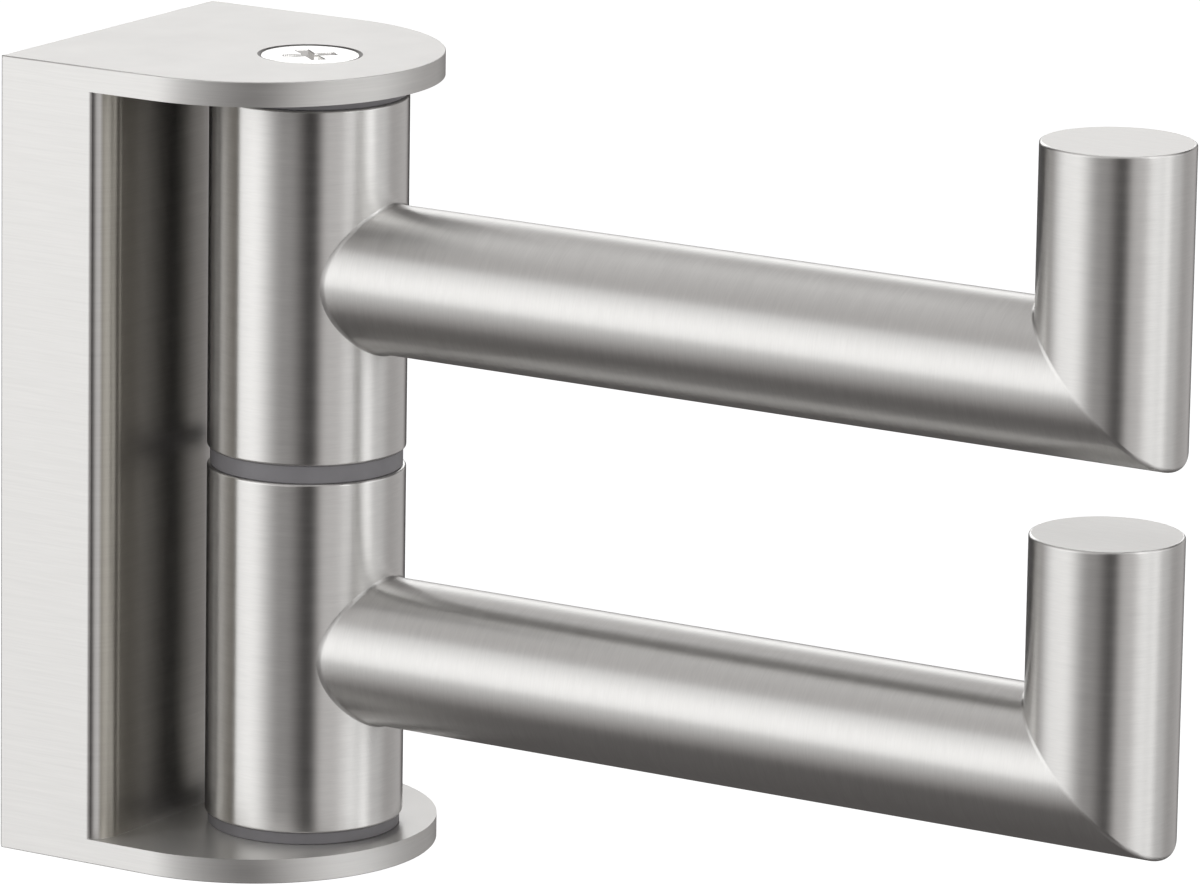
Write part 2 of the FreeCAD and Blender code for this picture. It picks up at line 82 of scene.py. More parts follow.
# The pin's screws: radius of the shank, rounding of its end and of the neck under the head,
# and height of the head's rim
SHANK_RADIUS, SHANK_END_RADIUS, NECK_RADIUS = 1.95 * MM, 0.3 * MM, 0.2 * MM
RIM_HEIGHT = 0.1 * MM
# The cross recess: span, width and depth, and the slopes of its floor and walls
CROSS_SPAN, CROSS_WIDTH, CROSS_DEPTH = 4.4 * MM, 1.1 * MM, 2.0 * MM
CROSS_FLOOR_SLOPE, CROSS_WALL_SLOPE = 1.5, 6
# How far each screw happens to be turned
SCREW_TURNS = {"top_screw": math.radians(-38), "bottom_screw": math.radians(20)}
# The ring of points next to a screw's axis, and the rings from there to the head's rim
HUB_RADIUS, FACE_RINGS = 0.02 * MM, 90

# Rows of points along a bar: out of the weld, along a straight, round the mitre, over the edge
WELD_ROWS, STRAIGHT_ROWS, MITRE_ROWS, EDGE_ROWS = 8, 12, 13, 7
# How fast the mitre's softness changes between its sides and its inside or outside
MITRE_POWER = 5
# How deep inside the barrel a bar's hidden foot is closed
FOOT_DEPTH = 1 * MM

# The bevel of the CAD bracket's edges, and the reach of the countersinks from the pivot
CAD_BEVEL = 0.25 * MM
SINK_RADIUS = 4.2 * MM
# The bevels of the plates' rims are all farther from the pivot than this
RIM_REACH = 1.3 * SINK_RADIUS
# Faces that meet at less than this angle are shaded as one
SOFT_ANGLE = math.radians(50)
# Points as close as this are one, and a face within this of a plane lies in it
SAME_POINT, SAME_PLANE = 0.001 * MM, 0.01 * MM

# The hollow between the plates, just inside the bracket's sides and the plates' faces
PLATE_THICKNESS = 2 * MM
INSIDE_X = BRACKET_HIGH.x - 0.05 * MM
INSIDE_Z = BRACKET_HIGH.z - PLATE_THICKNESS - SAME_PLANE
# The hollow's steel gets painted shade, with some heat tint, from the first to the second
# distance from its middle
SHADE_AND_TINT_REACH = 5 * MM, 13 * MM
# The grinding of the bracket's sides reaches round their front corners, between these two, and
# ends the hollow's painted shade and heat tint there
GROUND_REACH = 14.2 * MM, 14.4 * MM
# The length over which a side's finish passes into that of the round rim
RIM_BLEND = 4 * MM
# A face counts as level where its normal rises by more than this
LEVEL_RISE = 0.7

# Nearly all values of a noise texture lie between these two
NOISE_LOW, NOISE_HIGH = 0.3, 0.7
# Height of the brush marks and of the mould's grain
RELIEF = 0.01 * MM
# Nylon: the size of its faint clouds and of the mould's grain
CLOUD_SIZE, MOULD_GRAIN = 2 * MM, 0.15 * MM
# A surface's texture coordinates are in decimetres, so that they run from 0 to about 1
TEXTURE_UNIT = 0.1


def linear_colour(hex_colour):
    """The linear red, green and blue of an sRGB colour written as six hex digits."""
    srgb = np.array([int(hex_colour[i:i + 2], 16) for i in (1, 3, 5)]) / 255
    linear = np.where(srgb <= 0.04045, srgb / 12.92, ((srgb + 0.055) / 1.055) ** 2.4)
    return tuple(float(c) for c in linear)


# Sizes and colours a user may change


class HookShape(bpy.types.PropertyGroup):
    edge_radius: FloatProperty(
        name="Edge radius", description="Broken edge at the ends of the barrels and tips",
        default=0.2 * MM, unit="LENGTH")
    bracket_edge: FloatProperty(
        name="Bracket edge", description="Width of the broken edge round the bracket's plates",
        default=0.08 * MM, unit="LENGTH")
    washer_edge_radius: FloatProperty(
        name="Washer edge radius", description="Rounded rim of the plastic washers",
        default=0.12 * MM, unit="LENGTH")
    mitre_radius_outside: FloatProperty(
        name="Outer mitre radius", description="Rounding of the mitre under the tip",
        default=0.4 * MM, unit="LENGTH")
    mitre_radius_inside: FloatProperty(
        name="Inner mitre radius", description="Weld fillet in the angle of arm and tip",
        default=0.3 * MM, unit="LENGTH")
    mitre_radius_beside: FloatProperty(
        name="Side mitre radius", description="Softness of the mitre at the bar's sides",
        default=0.25 * MM, unit="LENGTH")
    weld_depth: FloatProperty(
        name="Weld depth", description="How far an arm is let into its barrel",
        default=0.05 * MM, unit="LENGTH")
    weld_radius: FloatProperty(
        name="Weld radius", description="Hollow fillet between an arm and its barrel",
        default=0.35 * MM, unit="LENGTH")
    steps_round: IntProperty(
        name="Steps round", description="Facets round a bar or a barrel", default=256)


class SteelFinish(bpy.types.PropertyGroup):
    steel_colour: FloatVectorProperty(
        name="Steel", description="Colour of brushed stainless steel",
        default=linear_colour("#DDDCDA"), size=3, subtype="COLOR")
    screw_colour: FloatVectorProperty(
        name="Screw", description="Colour of polished stainless steel",
        default=linear_colour("#E6E5E3"), size=3, subtype="COLOR")
    plate_colour: FloatVectorProperty(
        name="Wall plate", description="Colour of mill-finish stainless steel",
        default=linear_colour("#C2C1BE"), size=3, subtype="COLOR")
    nylon_colour: FloatVectorProperty(
        name="Nylon", description="Colour of the washers and bushes",
        default=linear_colour("#7C7A7D"), size=3, subtype="COLOR")
    roughness: FloatProperty(
        name="Roughness", description="Roughness of the brushed steel",
        default=0.35, subtype="FACTOR")
    barrel_roughness: FloatProperty(
        name="Barrel roughness", description="Roughness of the turned barrels",
        default=0.29, subtype="FACTOR")
    inside_roughness: FloatProperty(
        name="Roughness inside", description="Roughness of the bracket's back between its plates",
        default=0.29, subtype="FACTOR")
    rim_roughness: FloatProperty(
        name="Rim roughness", description="Roughness of the ground rims of the plates",
        default=0.50, subtype="FACTOR")
    rim_draw_out: FloatProperty(
        name="Rim anisotropy", description="How far the gloss of the rims is drawn out upright",
        default=0.5, subtype="FACTOR")
    # painted shade of the hollow, with some heat tint: darker, browner steel towards its sides
    tint_and_shade_colour: FloatVectorProperty(
        name="Hollow shade and tint", description="Colour of the painted shade and heat tint towards the hollow's sides",
        default=linear_colour("#A5A199"), size=3, subtype="COLOR")
    # painted shade in the countersinks round the screw heads
    sink_shade_colour: FloatVectorProperty(
        name="Countersink", description="Colour of the painted shade in the countersinks",
        default=linear_colour("#6E6C6A"), size=3, subtype="COLOR")
    grain: FloatProperty(
        name="Grain", description="Spacing of the brush marks as drawn",
        default=0.13 * MM, unit="LENGTH")
    grain_length: FloatProperty(
        name="Grain length", description="Length of a brush mark",
        default=1.8 * MM, unit="LENGTH")


class StudioLook(bpy.types.PropertyGroup):
    azimuth: FloatProperty(
        name="Camera azimuth", description="Where the camera stands round the hook",
        default=math.radians(-58.48), subtype="ANGLE")
    elevation: FloatProperty(
        name="Camera elevation", description="How far the camera looks down",
        default=math.radians(13.07), subtype="ANGLE")
    roll: FloatProperty(
        name="Camera roll", description="Turn of the picture about its centre",
        default=math.radians(0.93), subtype="ANGLE")
    distance: FloatProperty(
        name="Camera distance", description="From the pivot to the camera",
        default=742 * MM, unit="LENGTH")
    aim_right: FloatProperty(
        name="Aim right", description="How far the aim lies to the right of the pivot",
        default=23.52 * MM, unit="LENGTH")
    aim_up: FloatProperty(
        name="Aim up", description="How far the aim lies above the middle of the bracket",
        default=0.774 * MM, unit="LENGTH")
    focal_length: FloatProperty(
        name="Focal length", description="Of the lens, for a sensor 36 mm wide",
        default=277.58, unit="CAMERA")
    floor_drop: FloatProperty(
        name="Floor drop", description="From the bracket's lower end to the floor",
        default=70 * MM, unit="LENGTH")
    key_strength: FloatProperty(
        name="Key light", description="Power of the soft lamp above the left shoulder",
        default=1.6, unit="POWER")
    fill_strength: FloatProperty(
        name="Fill light", description="Plain light from all round", default=0.75)
    shade_colour: FloatVectorProperty(
        name="Shade", description="Tint of the room's dark parts, a warm grey",
        default=linear_colour("#FFF8F6"), size=3, subtype="COLOR")


# Surfaces


def add_object(name, data):
    """A mesh, a lamp or a camera as an object of the scene."""
    item = bpy.data.objects.new(name, data)
    bpy.context.scene.collection.objects.link(item)
    return item


def rounded_outline(corners, radii, steps=8):
    """A closed outline with rounded corners, as (points, normals, lengths).

    corners go anticlockwise. At each corner the direction turns evenly from that of the
    side before to that of the side after, and the point runs on a circle of the corner's
    radius that touches both sides. The normal is the direction turned a quarter clockwise.
    """
    corners, radii = np.array(corners, float), np.array(radii, float)
    before = corners - np.roll(corners, 1, axis=0)
    after = np.roll(before, -1, axis=0)
    heading = np.arctan2(before[:, 1], before[:, 0])
    turn = (np.arctan2(after[:, 1], after[:, 0]) - heading + math.pi) % (2 * math.pi) - math.pi
    angle = heading[:, None] + turn[:, None] * np.linspace(0, 1, steps + 1)
    normals = np.stack([np.sin(angle), -np.cos(angle)], axis=-1)
    touch = radii * np.tan(np.abs(turn) / 2)
    direction = np.stack([np.cos(heading), np.sin(heading)], axis=-1)
    start = corners - direction * touch[:, None]
    lever = (np.sign(turn) * radii)[:, None]
    points = (start - lever * normals[:, 0])[:, None] + lever[:, None] * normals
    points, normals = points.reshape(-1, 2), normals.reshape(-1, 2)
    ring = np.vstack([points, points[:1]])
    lengths = np.concatenate([[0], np.cumsum(np.linalg.norm(np.diff(ring, axis=0), axis=1))])
    return points, normals, lengths


def grid_surface(name, points, normals, texture, caps=()):
    """A mesh over a grid of points, closed along its second way.

    points and normals are rows x columns x 3. texture holds two coordinates for the first
    and for the last edge of each row of faces, in one more column than points has. With as
    many rows of faces as of points, the first way is closed too.
    A cap (row, centre, direction) closes the surface with a fan from that row to a centre.
    """
    rows, columns = points.shape[:2]
    first, last = texture
    i, j = np.meshgrid(np.arange(first.shape[0]), np.arange(columns), indexing="ij")
    across, along = [i, i, i + 1, i + 1], [j, j + 1, j + 1, j]
    faces = np.stack([(a % rows) * columns + b % columns for a, b in zip(across, along)], axis=-1)
    faces = faces.reshape(-1, 4).tolist()
    corners = [first[i, j], first[i, j + 1], last[i, j + 1], last[i, j]]
    corner_texture = [np.stack(corners, axis=-2).reshape(-1, 2)]
    vertices, directions = [points.reshape(-1, 3)], [normals.reshape(-1, 3)]
    for count, (row, centre, direction) in enumerate(caps):
        step = np.arange(columns)
        ring = (row % rows) * columns + np.stack([step, (step + 1) % columns], axis=-1)
        if row == 0:
            ring = ring[:, ::-1]
        hub = np.full((columns, 1), rows * columns + count)
        faces += np.hstack([ring, hub]).tolist()
        angle = 2 * math.pi * np.stack([step, step + 1, step + 0.5], axis=-1) / columns
        reach = np.linalg.norm(points[row] - centre, axis=-1).mean() / TEXTURE_UNIT
        fan = np.stack([np.cos(angle), np.sin(angle)], axis=-1) * reach
        fan[:, 2] = 0
        corner_texture.append(fan.reshape(-1, 2))
        vertices.append(np.array([centre], float))
        directions.append(np.array([direction], float))
    mesh = bpy.data.meshes.new(name)
    mesh.from_pydata(np.vstack(vertices).tolist(), [], faces)
    mesh.polygons.foreach_set("use_smooth", np.ones(len(faces), bool))
    layer = mesh.uv_layers.new(name="surface")
    layer.data.foreach_set("uv", np.vstack(corner_texture).astype(np.float32).ravel())
    mesh.normals_split_custom_set_from_vertices(np.vstack(directions).tolist())
    mesh.validate()
    return add_object(name, mesh)


def surface_normals(points):
    """The normals of a grid closed along its second way, from the points round each point."""
    beside = np.roll(points, -1, axis=1) - np.roll(points, 1, axis=1)
    normals = np.cross(beside, np.gradient(points, axis=0))
    return normals / np.linalg.norm(normals, axis=-1, keepdims=True)


def turned_surface(name, corners, radii, low_z, steps_round):
    """A turned piece: a rounded outline of (radius, height) spun about the pivot.

    A point is (radius cos a, PIVOT_Y + radius sin a, low_z + height) for the angle a. The
    first texture coordinate runs along the outline and the second round the pivot.
    """
    outline, normal, lengths = rounded_outline(corners, radii)
    angle = np.linspace(0, 2 * math.pi, steps_round, endpoint=False)
    radius, height = outline[:, :1], outline[:, 1:]
    points = np.stack([radius * np.cos(angle), PIVOT_Y + radius * np.sin(angle),
                       low_z + height + 0 * angle], axis=-1)
    normals = np.stack([normal[:, :1] * np.cos(angle), normal[:, :1] * np.sin(angle),
                        normal[:, 1:] + 0 * angle], axis=-1)
    round_length = np.linspace(0, 2 * math.pi, steps_round + 1) * outline[:, 0].max()
    texture = np.stack(np.meshgrid(lengths, round_length, indexing="ij"), axis=-1) / TEXTURE_UNIT
    return grid_surface(name, points, normals, (texture[:-1], texture[1:]))


def hook_bar(name, arm_node, tip_node, shape):
    """Arm and tip of a hook as one bar with a softened mitre.

    For the angle a round the bar, of radius R, a line runs along the arm at (R cos a,
    R sin a) from the bar's middle, and up the tip at the same offset, so both stretches meet
    in the mitre plane. There the line turns on a small circle, whose radius is that of the
    sides and grows towards the inside and the outside of the mitre with the fifth power of
    the way there. The arm starts on the barrel's surface, where
    y = PIVOT_Y - sqrt(barrel radius^2 - x^2), and the tip ends in a broken edge and a flat.
    Before that start lies the weld: for t from 0 to a right angle the radius is R + weld
    radius (1 - sin t) and y lies weld radius (1 - cos t) in front of the barrel's surface.
    The first texture coordinate is the way along the wall's normal as far as the mitre and
    the height from there on, so the brush marks run square round each of the two bars.
    """
    arm_low, arm_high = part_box(arm_node)
    tip_low, tip_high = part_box(tip_node)
    bar_radius = (arm_high.x - arm_low.x) / 2
    arm_z, tip_y, top_z = (arm_low.z + arm_high.z) / 2, (tip_low.y + tip_high.y) / 2, tip_high.z

    angle = np.linspace(0, 2 * math.pi, shape.steps_round, endpoint=False)
    cosine, sine = np.cos(angle), np.sin(angle)
    x, offset = bar_radius * cosine, bar_radius * sine
    beside = shape.mitre_radius_beside
    soft = (beside + ((1 - sine) / 2) ** MITRE_POWER * (shape.mitre_radius_outside - beside)
            + ((1 + sine) / 2) ** MITRE_POWER * (shape.mitre_radius_inside - beside))
    swing = np.linspace(0, math.pi / 2, WELD_ROWS)[:, None]
    weld_radius = bar_radius + shape.weld_radius * (1 - np.sin(swing))
    weld_x = weld_radius * cosine
    weld_y = (PIVOT_Y - np.sqrt((BARREL_RADIUS - shape.weld_depth) ** 2 - weld_x ** 2)
              - shape.weld_radius * (1 - np.cos(swing)))
    start_y = weld_y[-1]
    corner_y, corner_z = tip_y + offset, arm_z + offset

    along = np.linspace(0, 1, STRAIGHT_ROWS)[:, None]
    turn = np.linspace(0, math.pi / 2, MITRE_ROWS)[:, None]
    edge = np.linspace(0, math.pi / 2, EDGE_ROWS)[1:, None]
    level = 0 * angle
    arm_y = start_y + along * (corner_y + soft - start_y)
    mitre_y = corner_y + soft - soft * np.sin(turn)
    mitre_z = corner_z + soft - soft * np.cos(turn)
    tip_z = corner_z + soft + along[1:] * (top_z - shape.edge_radius - corner_z - soft)
    edge_radius = bar_radius - shape.edge_radius * (1 - np.cos(edge))
    edge_z = top_z - shape.edge_radius * (1 - np.sin(edge))
    weld = np.stack([weld_x, weld_y, arm_z + weld_radius * sine], axis=-1)
    points = np.concatenate([
        weld[:-1],
        np.stack([x + 0 * arm_y, arm_y, corner_z + 0 * arm_y], axis=-1),
        np.stack([x + 0 * mitre_y, mitre_y, mitre_z], axis=-1)[1:],
        np.stack([x + 0 * tip_z, corner_y + 0 * tip_z, tip_z], axis=-1),
        np.stack([edge_radius * cosine, tip_y + edge_radius * sine, edge_z + level], axis=-1),
    ])
    bend = cosine * (np.sin(turn) + np.cos(turn))
    normals = np.concatenate([
        surface_normals(weld)[:-1],
        np.stack([cosine + 0 * arm_y, 0 * arm_y, sine + 0 * arm_y], axis=-1),
        np.stack([bend, sine * np.sin(turn), sine * np.cos(turn)], axis=-1)[1:],
        np.stack([cosine + 0 * tip_z, sine + 0 * tip_z, 0 * tip_z], axis=-1),
        np.stack([np.cos(edge) * cosine, np.cos(edge) * sine, np.sin(edge) + level], axis=-1),
    ])
    normals /= np.linalg.norm(normals, axis=-1, keepdims=True)

    round_again = np.concatenate([points, points[:, :1]], axis=1)
    out_along_arm = PIVOT_Y - round_again[..., 1]
    up_the_tip = PIVOT_Y - tip_y + round_again[..., 2] - arm_z
    arm_rows = len(weld) + len(arm_y) - 2 + len(turn) // 2
    on_arm = np.arange(len(points) - 1)[:, None] < arm_rows
    round_length = np.linspace(0, 2 * math.pi * bar_radius, shape.steps_round + 1)
    texture = [np.stack([np.where(on_arm, out_along_arm[edges], up_the_tip[edges]),
                         round_length + 0 * out_along_arm[edges]], axis=-1) / TEXTURE_UNIT
               for edges in (slice(None, -1), slice(1, None))]
    foot = np.array([0, PIVOT_Y - BARREL_RADIUS + FOOT_DEPTH, arm_z])
    top = np.array([0, tip_y, top_z])
    return grid_surface(name, points, normals, texture,
                        caps=[(0, foot, (0, 1, 0)), (len(points) - 1, top, (0, 0, 1))])


def pin_screw(name, node, turn, shape):
    """A countersunk screw: an outline turned about the pivot, with a cross let into its face.

    The outline has the shank, a cone of 45 degrees, the head's rim and its face. With u along
    and v across an arm of the cross, that arm is as deep as the least of the full depth,
    (half its span - |u|) times the slope of its floor and (half its width - |v|) times the
    slope of its walls. The deeper arm counts, and where both are less than 0 the face is
    flat. The lower screw is the upper one turned over about the line along the wall.
    """
    low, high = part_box(node)
    side = 1 if high.z > 0 else -1
    face_z = high.z if high.z > 0 else low.z
    head, length = high.x, high.z - low.z
    edge = shape.edge_radius / 2
    outline, _, _ = rounded_outline(
        [(0, -length), (SHANK_RADIUS, -length), (SHANK_RADIUS, -RIM_HEIGHT - head + SHANK_RADIUS),
         (head, -RIM_HEIGHT), (head, 0), (0, 0)],
        [0, SHANK_END_RADIUS, NECK_RADIUS, 0, edge, 0])
    outline = outline[outline[:, 0] > edge]
    face = np.linspace(outline[-1, 0], HUB_RADIUS, FACE_RINGS)
    outline = np.vstack([[HUB_RADIUS, -length], outline, np.stack([face, 0 * face], axis=-1)])
    apart = np.linalg.norm(np.diff(outline, axis=0), axis=1) > SAME_POINT
    outline = outline[np.append(True, apart)]
    radius, height = outline[:, :1], outline[:, 1:]

    angle = np.linspace(0, 2 * math.pi, shape.steps_round, endpoint=False)
    u, v = radius * np.cos(angle - turn), radius * np.sin(angle - turn)
    arms = [np.minimum.reduce([CROSS_DEPTH + 0 * u,
                               (CROSS_SPAN / 2 - np.abs(along)) * CROSS_FLOOR_SLOPE,
                               (CROSS_WIDTH / 2 - np.abs(across)) * CROSS_WALL_SLOPE])
            for along, across in ((u, v), (v, u))]
    depth = np.maximum.reduce([arms[0], arms[1], 0 * u]) * (height >= 0)
    points = np.stack([radius * np.cos(angle), PIVOT_Y + side * radius * np.sin(angle),
                       face_z + side * (height - depth)], axis=-1)
    texture = np.stack(np.meshgrid(np.linspace(0, length, len(points)),
                                   np.linspace(0, head, shape.steps_round + 1),
                                   indexing="ij"), axis=-1) / TEXTURE_UNIT
    up = np.array([0, 0, side])
    foot = np.array([0, PIVOT_Y, face_z]) - up * length
    middle = np.array([0, PIVOT_Y, points[-1, 0, 2]])
    return grid_surface(name, points, surface_normals(points), (texture[:-1], texture[1:]),
                        caps=[(0, foot, -up), (len(points) - 1, middle, up)])


def mesh_values(items, attribute, width, kind=np.float32):
    """One attribute of all vertices, loops or faces of a mesh, a row for each."""
    values = np.empty(width * len(items), kind)
    items.foreach_get(attribute, values)
    return values.reshape(-1, width)


def bracket_shell(node, name, edge):
    """A copy of the bracket's mesh, points merged, its bevels narrowed and shaded soft.

    A bevel's face leans at 45 degrees. Its points on a plate's face go outwards, and those
    on the rim towards the plate's face, by as much as the bevel gets narrower.

    The shading direction at a face's corner is the sum of the directions of the faces that
    meet there, each times the cube of its area, leaving out those turned by more than 50
    degrees from this face. A narrow bevel so takes on the directions of the large faces
    beside it and looks like a small rounding, and a square edge stays sharp.
    """
    mesh = bpy.data.meshes.new(name)
    build = bmesh.new()
    build.from_mesh(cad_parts[node].data)
    bmesh.ops.remove_doubles(build, verts=build.verts, dist=SAME_POINT)
    build.to_mesh(mesh)
    build.free()
    corner = mesh_values(mesh.loops, "vertex_index", 1, np.int32)
    triangle = corner.reshape(-1, 3)
    place = mesh_values(mesh.vertices, "co", 3)
    facing = mesh_values(mesh.polygons, "normal", 3)
    reach = np.linalg.norm(place[triangle].mean(axis=1)[:, :2] - (0, PIVOT_Y), axis=1)
    leans = np.abs(np.abs(facing[:, 2]) - math.sqrt(0.5)) < 0.01
    bevels = leans & (reach > RIM_REACH)
    outwards = np.zeros((len(place), 2))
    np.add.at(outwards, triangle[bevels].ravel(), np.repeat(facing[bevels, :2], 3, axis=0))
    length = np.linalg.norm(outwards, axis=1)
    on_face = (length > 0) & (np.abs(place[:, 2]) > BRACKET_HIGH.z - SAME_PLANE)
    on_rim = (length > 0) & ~on_face
    place[on_face, :2] += (CAD_BEVEL - edge) * outwards[on_face] / length[on_face, None]
    place[on_rim, 2] += (CAD_BEVEL - edge) * np.sign(place[on_rim, 2])
    mesh.vertices.foreach_set("co", place.ravel())
    mesh.update()

    mesh.polygons.foreach_set("use_smooth", np.ones(len(triangle), bool))
    facing = np.repeat(mesh_values(mesh.polygons, "normal", 3), 3, axis=0)
    area = np.repeat(mesh_values(mesh.polygons, "area", 1), 3, axis=0)
    meets = (corner == corner.T) & (facing @ facing.T > math.cos(SOFT_ANGLE))
    soft = meets.astype(float) @ (facing * (area / area.max()) ** 3)
    mesh.normals_split_custom_set(soft / np.linalg.norm(soft, axis=1, keepdims=True))
    return add_object(name, mesh)


# Materials


def add_node(tree, kind, inputs=None, **settings):
    """Add a node with its settings; inputs maps a socket to a value or to an output."""
    node = tree.nodes.new(kind)
    for name, setting in settings.items():
        setattr(node, name, setting)
    for name, source in (inputs or {}).items():
        if isinstance(source, bpy.types.NodeSocket):
            tree.links.new(source, node.inputs[name])
        else:
            node.inputs[name].default_value = source
    return node


def new_material(name):
    """An empty node material, as (material, tree)."""
    material = bpy.data.materials.new(name)
    material.use_nodes = True
    material.node_tree.nodes.clear()
    return material, material.node_tree


def brush_marks(tree, place, finish, across, length):
    """Long fine streaks, as (fine, broad) outputs from 0 to 1.

    place is a position in metres. across has one number for each axis: 1 where the
    position runs across the brush marks and 0 where it runs along them. The real marks are
    0.02 to 0.05 mm apart, too fine for the picture, so they are drawn about 0.1 mm apart.
    """
    marks = []
    for spacing, reach in ((finish.grain, length), (5 * finish.grain, 3 * length)):
        scale = [1 / spacing if a else 1 / reach for a in across]
        stretched = add_node(tree, "ShaderNodeMapping",
                             {"Vector": place, "Scale": scale}, vector_type="POINT")
        noise = add_node(tree, "ShaderNodeTexNoise",
                         {"Vector": stretched.outputs[0], "Scale": 1.0, "Detail": 2.0,
                          "Roughness": 0.6})
        marks.append(noise.outputs["Fac"])
    return marks


def brushed_shader(tree, colour, marks, tangent, roughness, draw_out=0.9):
    """Metal with the gloss drawn out across its brush marks, as a shader output.

    The marks make it up to 6 per cent lighter or darker, and glossier or duller.
    """
    fine, broad = marks
    both = add_node(tree, "ShaderNodeMath", {0: fine, 1: broad}, operation="ADD")
    shade = add_node(tree, "ShaderNodeMapRange",
                     {"Value": both.outputs[0], "From Min": 2 * NOISE_LOW,
                      "From Max": 2 * NOISE_HIGH, "To Min": 0.94, "To Max": 1.05})
    tint = add_node(tree, "ShaderNodeVectorMath", {0: colour, "Scale": shade.outputs[0]},
                    operation="SCALE")
    uneven = add_node(tree, "ShaderNodeMapRange",
                      {"Value": broad, "From Min": NOISE_LOW, "From Max": NOISE_HIGH,
                       "To Min": 0.96, "To Max": 1.06})
    rough = add_node(tree, "ShaderNodeMath", {0: uneven.outputs[0], 1: roughness},
                     operation="MULTIPLY")
    bump = add_node(tree, "ShaderNodeBump",
                    {"Strength": 0.12, "Distance": RELIEF, "Height": fine})
    metal = add_node(tree, "ShaderNodeBsdfPrincipled",
                     {"Base Color": tint.outputs[0], "Metallic": 1.0,
                      "Roughness": rough.outputs[0], "Anisotropic": draw_out,
                      "Normal": bump.outputs[0], "Tangent": tangent})
    return metal.outputs[0]


def turned_steel(name, finish, roughness):
    """Stainless steel, brushed as it turned: marks run round it, gloss is drawn out along it."""
    material, tree = new_material(name)
    surface = add_node(tree, "ShaderNodeUVMap", uv_map="surface")
    place = add_node(tree, "ShaderNodeVectorMath",
                     {0: surface.outputs[0], "Scale": TEXTURE_UNIT}, operation="SCALE")
    tangent = add_node(tree, "ShaderNodeTangent", direction_type="UV_MAP", uv_map="surface")
    marks = brush_marks(tree, place.outputs[0], finish, (1, 0, 0), finish.grain_length)
    metal = brushed_shader(tree, tuple(finish.steel_colour), marks, tangent.outputs[0], roughness)
    add_node(tree, "ShaderNodeOutputMaterial", {"Surface": metal})
    return material


def hollow_masks(tree, point):
    """Where the bracket is between its plates and where it gets painted shade and heat tint
    there, 0 to 1.
    """
    aside = add_node(tree, "ShaderNodeMath", {0: point.outputs["X"]}, operation="ABSOLUTE")
    height = add_node(tree, "ShaderNodeMath", {0: point.outputs["Z"]}, operation="ABSOLUTE")
    within_sides = add_node(tree, "ShaderNodeMath", {0: aside.outputs[0], 1: INSIDE_X},
                            operation="LESS_THAN")
    within_plates = add_node(tree, "ShaderNodeMath", {0: height.outputs[0], 1: INSIDE_Z},
                             operation="LESS_THAN")
    inside = add_node(tree, "ShaderNodeMath",
                      {0: within_sides.outputs[0], 1: within_plates.outputs[0]},
                      operation="MULTIPLY")
    unground = add_node(tree, "ShaderNodeMapRange",
                        {"Value": aside.outputs[0], "From Min": GROUND_REACH[0],
                         "From Max": GROUND_REACH[1], "To Min": inside.outputs[0],
                         "To Max": 0.0})
    # painted shade and heat tint, growing towards the hollow's sides
    shade_and_tint_mask = add_node(tree, "ShaderNodeMapRange",
                         {"Value": aside.outputs[0], "From Min": SHADE_AND_TINT_REACH[0],
                          "From Max": SHADE_AND_TINT_REACH[1], "To Max": unground.outputs[0]},
                         interpolation_type="SMOOTHSTEP")
    return inside.outputs[0], shade_and_tint_mask.outputs[0]


def countersink_mask(tree, place):
    """1 as near the pivot's axis as the countersinks reach, and 0 elsewhere."""
    off_pivot = add_node(tree, "ShaderNodeVectorMath", {0: place, 1: (0, PIVOT_Y, 0)},
                         operation="SUBTRACT")
    level_place = add_node(tree, "ShaderNodeVectorMath",
                           {0: off_pivot.outputs[0], 1: (1, 1, 0)}, operation="MULTIPLY")
    from_pivot = add_node(tree, "ShaderNodeVectorMath", {0: level_place.outputs[0]},
                          operation="LENGTH")
    in_sink = add_node(tree, "ShaderNodeMath", {0: from_pivot.outputs["Value"], 1: SINK_RADIUS},
                       operation="LESS_THAN")
    return in_sink.outputs[0]


